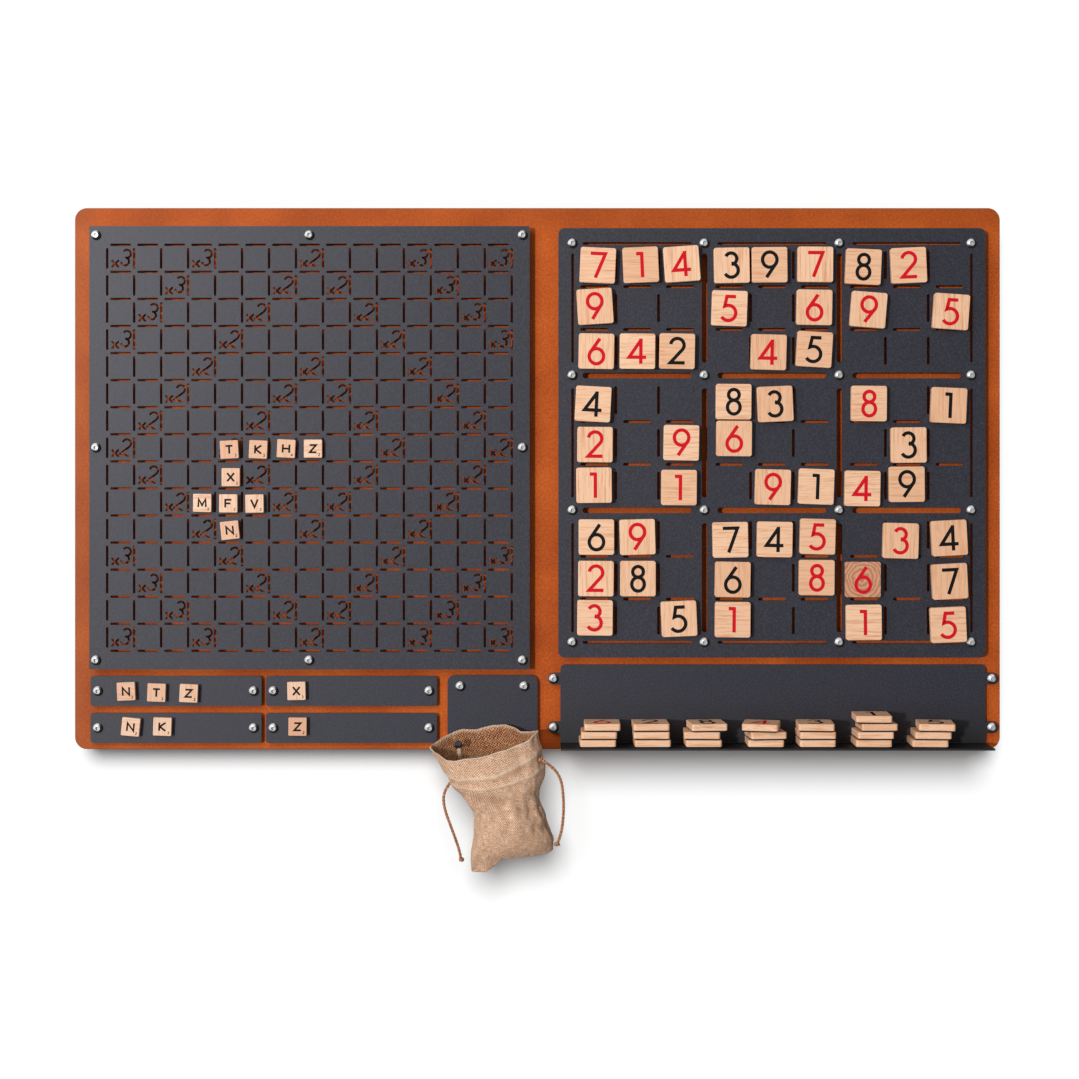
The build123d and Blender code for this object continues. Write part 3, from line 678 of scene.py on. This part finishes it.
def bag_point(u, v):
    """Point of the cloth, its seam marks and its painted crease shade. u goes round from the right by the
    back, v up.
    """
    x, depth, z, half_width, half_depth, lift_right, lift_back = spline_rows(BAG_SECTIONS, v)
    angle = 2 * math.pi * u
    c, s = math.cos(angle), math.sin(angle)
    flat = 1.0 - 0.35 * bell(v, 0, 0.12)
    local = Vector((half_width * math.copysign(abs(c) ** 0.92, c),
                    half_depth * math.copysign(abs(s) ** flat, s), 0))
    pleat = 0.5 * math.sin(angle * 17 + 3 * noise.noise(Vector((c * 2, s * 2, v * 2))))
    pleat *= bell(v, 0.52, 0.13) + 0.25 * bell(v, 0.75, 0.1)
    wrinkle = 3.4 * noise.noise(Vector((c * 1.9, s * 1.9, v * 5.5 + 4)))
    wrinkle += 1.5 * noise.noise(Vector((c * 4.6 + 9, s * 4.6, v * 11)))
    drape = 0.0
    if s < 0:
        slope = local.x / half_width + 2.6 * v
        drape = 1.0 * math.sin(slope * 9.5) * bell(v, 0.3, 0.16) * max(0.0, 0.3 + c)
    hem_v = v - 0.03 - 0.05 * max(0.0, c)
    hem = 0.7 * bell(hem_v, upper_seam, 0.012) + 0.6 * bell(hem_v, lower_seam, 0.010)
    hem += 0.9 * bell(v, rim_row, 0.012)
    hem -= 0.8 * bell(hem_v, hem_middle, 0.018)
    steady = 0.3 + 0.7 * math.sin(math.pi * min(1, v * 1.6 + 0.05) * 0.5)
    if s > 0:
        wrinkle *= 0.45
    out = (pleat + wrinkle + drape) * steady + hem
    outward = Vector((c / half_width, s / half_depth, 0)).normalized()
    local += outward * out
    turn = (Matrix.Rotation(math.radians(lift_back), 3, "X")
            @ Matrix.Rotation(math.radians(-lift_right), 3, "Y"))
    point = Vector((x, -depth, z)) + turn @ local
    degrees, rises = zip(*RIM_RISE)
    point.z += float(np.interp(math.degrees(angle), degrees, rises)) * max(0.0, (v - 0.72) / 0.28) ** 1.5
    point.z += 1.1 * noise.noise(Vector((c * 3, s * 3, 7))) * max(0.0, (v - 0.8) / 0.2)
    point.x -= rim_pull * max(0.0, c) * max(0.0, (v - 0.82) / 0.18) ** 1.5
    shares, drops = zip(*FOOT_RISE)
    point.z += float(np.interp(c, shares, drops)) * math.exp(-v / 0.06)
    point.y = min(point.y, -sheet_front)
    seam = max(bell(hem_v, upper_seam, 0.006), bell(hem_v, lower_seam, 0.006), 0.8 * bell(v, rim_row, 0.010))
    # Painted shade, strongest where the cloth folds inward and along the hem's middle fold.
    crease = max(0.0, min(1.0, -out / 4)) * 0.8 + 0.5 * bell(hem_v, 0.825, 0.008)
    return point, seam, crease


def make_bag():
    points, seams, crease_shades = [], [], []
    rows = []
    for j in range(up + 1):
        v = j / up
        row = [bag_point(i / around, v) for i in range(around)]
        rows.append(row)
        for point, seam, crease in row:
            points.append(point * MM)
            below_hook = (abs(point.x * MM - hook_middles[0]) < patch_half_width * MM
                          and point.y > -slit_depth and patch_foot < point.z < slit_foot)
            seams.append(patch_light if below_hook else seam)
            crease_shades.append(crease)
    faces = []
    for j in range(up):
        for i in range(around):
            a, b = j * around + i, j * around + (i + 1) % around
            middle = (points[a] + points[b + around]) / 2
            at_hook = any(abs(middle.x - hook) < slit_half_width * MM for hook in hook_middles)
            behind = middle.y > -slit_depth * MM
            if not (at_hook and behind and slit_foot * MM < middle.z < slit_head * MM):
                faces.append((a, b, b + around, a + around))
    half = around // 2
    for i in range(half - 1):
        a, b = i + 1, i
        faces.append((b, a, (around - i - 1) % around, (around - i) % around) if i else (0, 1, around - 1))
    bag = add_mesh("burlap_bag", points, faces, [looks["burlap"], looks["burlap_inside_painted_shade"]])
    cloth = bag.data.uv_layers.new(name="cloth")
    height = [0.0]
    quarter = 3 * around // 4
    for j in range(up):
        height.append(height[-1] + (rows[j + 1][quarter][0] - rows[j][quarter][0]).length)
    for polygon in bag.data.polygons:
        columns = [index % around for index in polygon.vertices]
        wraps = max(columns) - min(columns) > half
        for loop, index in zip(polygon.loop_indices, polygon.vertices):
            column = index % around
            if wraps and column == 0:
                column = around
            cloth.data[loop].uv = (column * cloth_round / around, height[index // around])
    for name, values in (("seam", seams), ("crease", crease_shades)):
        mark = bag.data.attributes.new(name, "FLOAT", "POINT")
        mark.data.foreach_set("value", values)
    solid = bag.modifiers.new("cloth", "SOLIDIFY")
    solid.thickness = bag_thickness
    solid.offset = -1
    # The inner face of the cloth takes that darker copy: painted shade inside the bag.
    solid.material_offset = 1
    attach(bag, "bag")
    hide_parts("letter_bag")


make_bag()


# Drawstrings: two strands twisted round the route's smooth line

LEFT_CORD = [(-91, 44, -321.5), (-97, 45, -328), (-100.2, 46, -339), (-98, 47, -352),
             (-92.8, 47.5, -366), (-87.2, 47.5, -381), (-82.5, 47, -395), (-80.8, 46, -404)]
RIGHT_CORD = [(3.4, 56, -296.5), (11.5, 57.5, -301), (20.3, 58, -308.8), (25.3, 57.5, -319),
              (27.3, 57, -333), (27.8, 56.5, -348), (26.9, 56, -363), (24.6, 55.5, -376.5),
              (20.8, 55, -386)]
strand_step = 0.8 * MM
strand_lay = 7.5 * MM
strand_offset = 0.77 * MM
strand_radius = 0.93 * MM
strand_sides = 8
knot_size = 2.4 * MM
knot_strand_radius = 1.3 * MM
knot_steps = 48
knot_tilt = 0.5


def route_line(route):
    """Points along the smooth line of a route."""
    curve = bpy.data.curves.new("route", "CURVE")
    curve.dimensions = "3D"
    curve.resolution_u = 24
    spline = curve.splines.new("NURBS")
    spline.points.add(len(route) - 1)
    for point, (x, depth, z) in zip(spline.points, route):
        point.co = (x * MM, -depth * MM, z * MM, 1)
    spline.order_u = 3
    spline.use_endpoint_u = True
    thing = bpy.data.objects.new("route", curve)
    mesh = bpy.data.meshes.new_from_object(thing)
    line = [vertex.co.copy() for vertex in mesh.vertices]
    bpy.data.objects.remove(thing)
    bpy.data.meshes.remove(mesh)
    return line


def tube_rings(line, radius, sides, points, faces):
    """Adds a round tube along a line to the points and faces."""
    start = len(points)
    up_way = Vector((0, 1, 0))
    for i, here in enumerate(line):
        way = (line[min(i + 1, len(line) - 1)] - line[max(i - 1, 0)]).normalized()
        side = way.cross(up_way).normalized()
        across = side.cross(way)
        for k in range(sides):
            a = 2 * math.pi * k / sides
            points.append(here + (side * math.cos(a) + across * math.sin(a)) * radius)
    for i in range(len(line) - 1):
        for k in range(sides):
            a = start + i * sides + k
            b = start + i * sides + (k + 1) % sides
            faces.append((a, b, b + sides, a + sides))
    last = start + (len(line) - 1) * sides
    faces.append(tuple(range(start + sides - 1, start - 1, -1)))
    faces.append(tuple(range(last, last + sides)))


def resample(line, step):
    lengths = [0.0]
    for a, b in zip(line, line[1:]):
        lengths.append(lengths[-1] + (b - a).length)
    wanted = np.linspace(0, lengths[-1], int(lengths[-1] / step) + 1)
    table = np.array([tuple(p) for p in line])
    return [Vector([np.interp(w, lengths, table[:, k]) for k in range(3)]) for w in wanted], lengths[-1]


def twisted_cord(hand, route):
    line = route_line(route)
    fine, length = resample(line, strand_step)
    points, faces = [], []
    for strand in range(2):
        path = []
        for i, here in enumerate(fine):
            way = (fine[min(i + 1, len(fine) - 1)] - fine[max(i - 1, 0)]).normalized()
            side = way.cross(Vector((0, 1, 0))).normalized()
            across = side.cross(way)
            a = 2 * math.pi * (i * strand_step / strand_lay + strand / 2)
            path.append(here + (side * math.cos(a) + across * math.sin(a)) * strand_offset)
        tube_rings(path, strand_radius, strand_sides, points, faces)
    cord = add_mesh(f"{hand}_string", points, faces, [looks["jute"]])
    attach(cord, "bag")
    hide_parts(f"{hand}_drawstring")
    return cord, fine, length


def knot(middle, size, turn, points, faces):
    """Overhand knot of the same string, drawn in tight."""
    line = []
    for i in range(knot_steps + 1):
        t = 2 * math.pi * i / knot_steps
        loop = Vector((math.sin(t) + 2 * math.sin(2 * t), math.cos(t) - 2 * math.cos(2 * t), -math.sin(3 * t)))
        line.append(middle + turn @ (loop * size / 3.4))
    tube_rings(line, knot_strand_radius, strand_sides, points, faces)


def make_knot(name, place, turn):
    x, depth, z = place
    points, faces = [], []
    way = Matrix.Rotation(math.radians(turn), 3, "Y") @ Matrix.Rotation(knot_tilt, 3, "X")
    knot(Vector((x * MM, -depth * MM, z * MM)), knot_size, way, points, faces)
    thing = add_mesh(name, points, faces, [looks["jute"]])
    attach(thing, "bag")
    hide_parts("drawstring_knots")
    return thing


left_end = make_knot("left_end_knot", LEFT_CORD[-1], 40)
right_exit = make_knot("right_exit_knot", RIGHT_CORD[0], 110)
right_end = make_knot("right_end_knot", RIGHT_CORD[-1], 180)
STRINGS = [("left", LEFT_CORD, [left_end]), ("right", RIGHT_CORD, [right_exit, right_end])]
for name, route, held in STRINGS:
    cord, line, length = twisted_cord(name, route)


# Wall and light

wall_gap = 30 * MM
wall_half_size = 4.0
wall_grey = 0.6
wall_glow = 0.03
world_light = 0.33
key_sun = 1.95
softbox_watts = 19
wall_sun = 4.7


def make_wall():
    """White wall that takes the shadow in front and is clear from behind."""
    signs = [(-1, -1), (1, -1), (1, 1), (-1, 1)]
    corners = [(x * wall_half_size, wall_gap, z * wall_half_size) for x, z in signs]
    s = Shader("white_wall", roughness=0.95, specular=0.0)
    s.surface.inputs["Base Color"].default_value = s.grey(wall_grey)
    ray = s.node("LightPath")
    seen = s.math("MAXIMUM", ray.outputs["Is Camera Ray"], ray.outputs["Is Glossy Ray"])
    glow = s.node("Emission", {"Color": (1, 1, 1, 1), "Strength": s.math("MULTIPLY", seen, wall_glow)})
    lit = s.node("AddShader", {0: s.surface.outputs[0], 1: glow.outputs[0]})
    clear = s.node("BsdfTransparent")
    behind = s.node("NewGeometry").outputs["Backfacing"]
    both = s.node("MixShader", {0: behind, 1: lit.outputs[0], 2: clear.outputs[0]})
    s.tree.links.new(both.outputs[0], s.tree.nodes["Material Output"].inputs["Surface"])
    wall = add_mesh("wall", corners, [(0, 1, 2, 3)], [s.material], smooth=False)
    wall.visible_diffuse = False
    wall.visible_glossy = False
    wall.visible_shadow = False
    wall.visible_transmission = False
    return wall


def make_world():
    world = bpy.data.worlds.new("studio")
    bpy.context.scene.world = world
    world.use_nodes = True
    tree = world.node_tree
    tree.nodes.clear()
    ray = tree.nodes.new("ShaderNodeLightPath")
    light = tree.nodes.new("ShaderNodeBackground")
    light.inputs["Strength"].default_value = world_light
    shown = tree.nodes.new("ShaderNodeBackground")
    mixed = tree.nodes.new("ShaderNodeMixShader")
    output = tree.nodes.new("ShaderNodeOutputWorld")
    for node in (light, shown):
        node.inputs["Color"].default_value = (1, 1, 1, 1)
    tree.links.new(ray.outputs["Is Camera Ray"], mixed.inputs[0])
    tree.links.new(light.outputs[0], mixed.inputs[1])
    tree.links.new(shown.outputs[0], mixed.inputs[2])
    tree.links.new(mixed.outputs[0], output.inputs["Surface"])


def add_light(name, kind, energy, place, aim, **settings):
    data = bpy.data.lights.new(name, kind)
    data.energy = energy
    for key, value in settings.items():
        setattr(data, key, value)
    lamp = bpy.data.objects.new(name, data)
    lamp.location = place
    lamp.rotation_euler = (Vector(aim) - Vector(place)).to_track_quat("-Z", "Y").to_euler()
    bpy.context.scene.collection.objects.link(lamp)
    return lamp


def light_only(lamp, thing, state):
    """The lamp lights the thing alone (INCLUDE), or all but the thing (EXCLUDE)."""
    group = bpy.data.collections.new(lamp.name + "_lights")
    group.objects.link(thing)
    group.collection_objects[0].light_linking.link_state = state
    lamp.light_linking.receiver_collection = group


wall = make_wall()
make_world()
key = add_light("key", "SUN", key_sun, (-0.60, -1, 0.05), (0, 0, 0), angle=math.radians(4))
light_only(key, wall, "EXCLUDE")
softbox = add_light("softbox", "AREA", softbox_watts, (-1.15, -1.25, 0.80), (-0.35, 0, 0.1), size=1.0)
light_only(softbox, wall, "EXCLUDE")
overhead = add_light("overhead", "SUN", wall_sun, (-0.10, -1, 0.43), (0, 0, 0), angle=math.radians(30))
light_only(overhead, wall, "INCLUDE")

bpy.context.scene.view_settings.view_transform = "Standard"
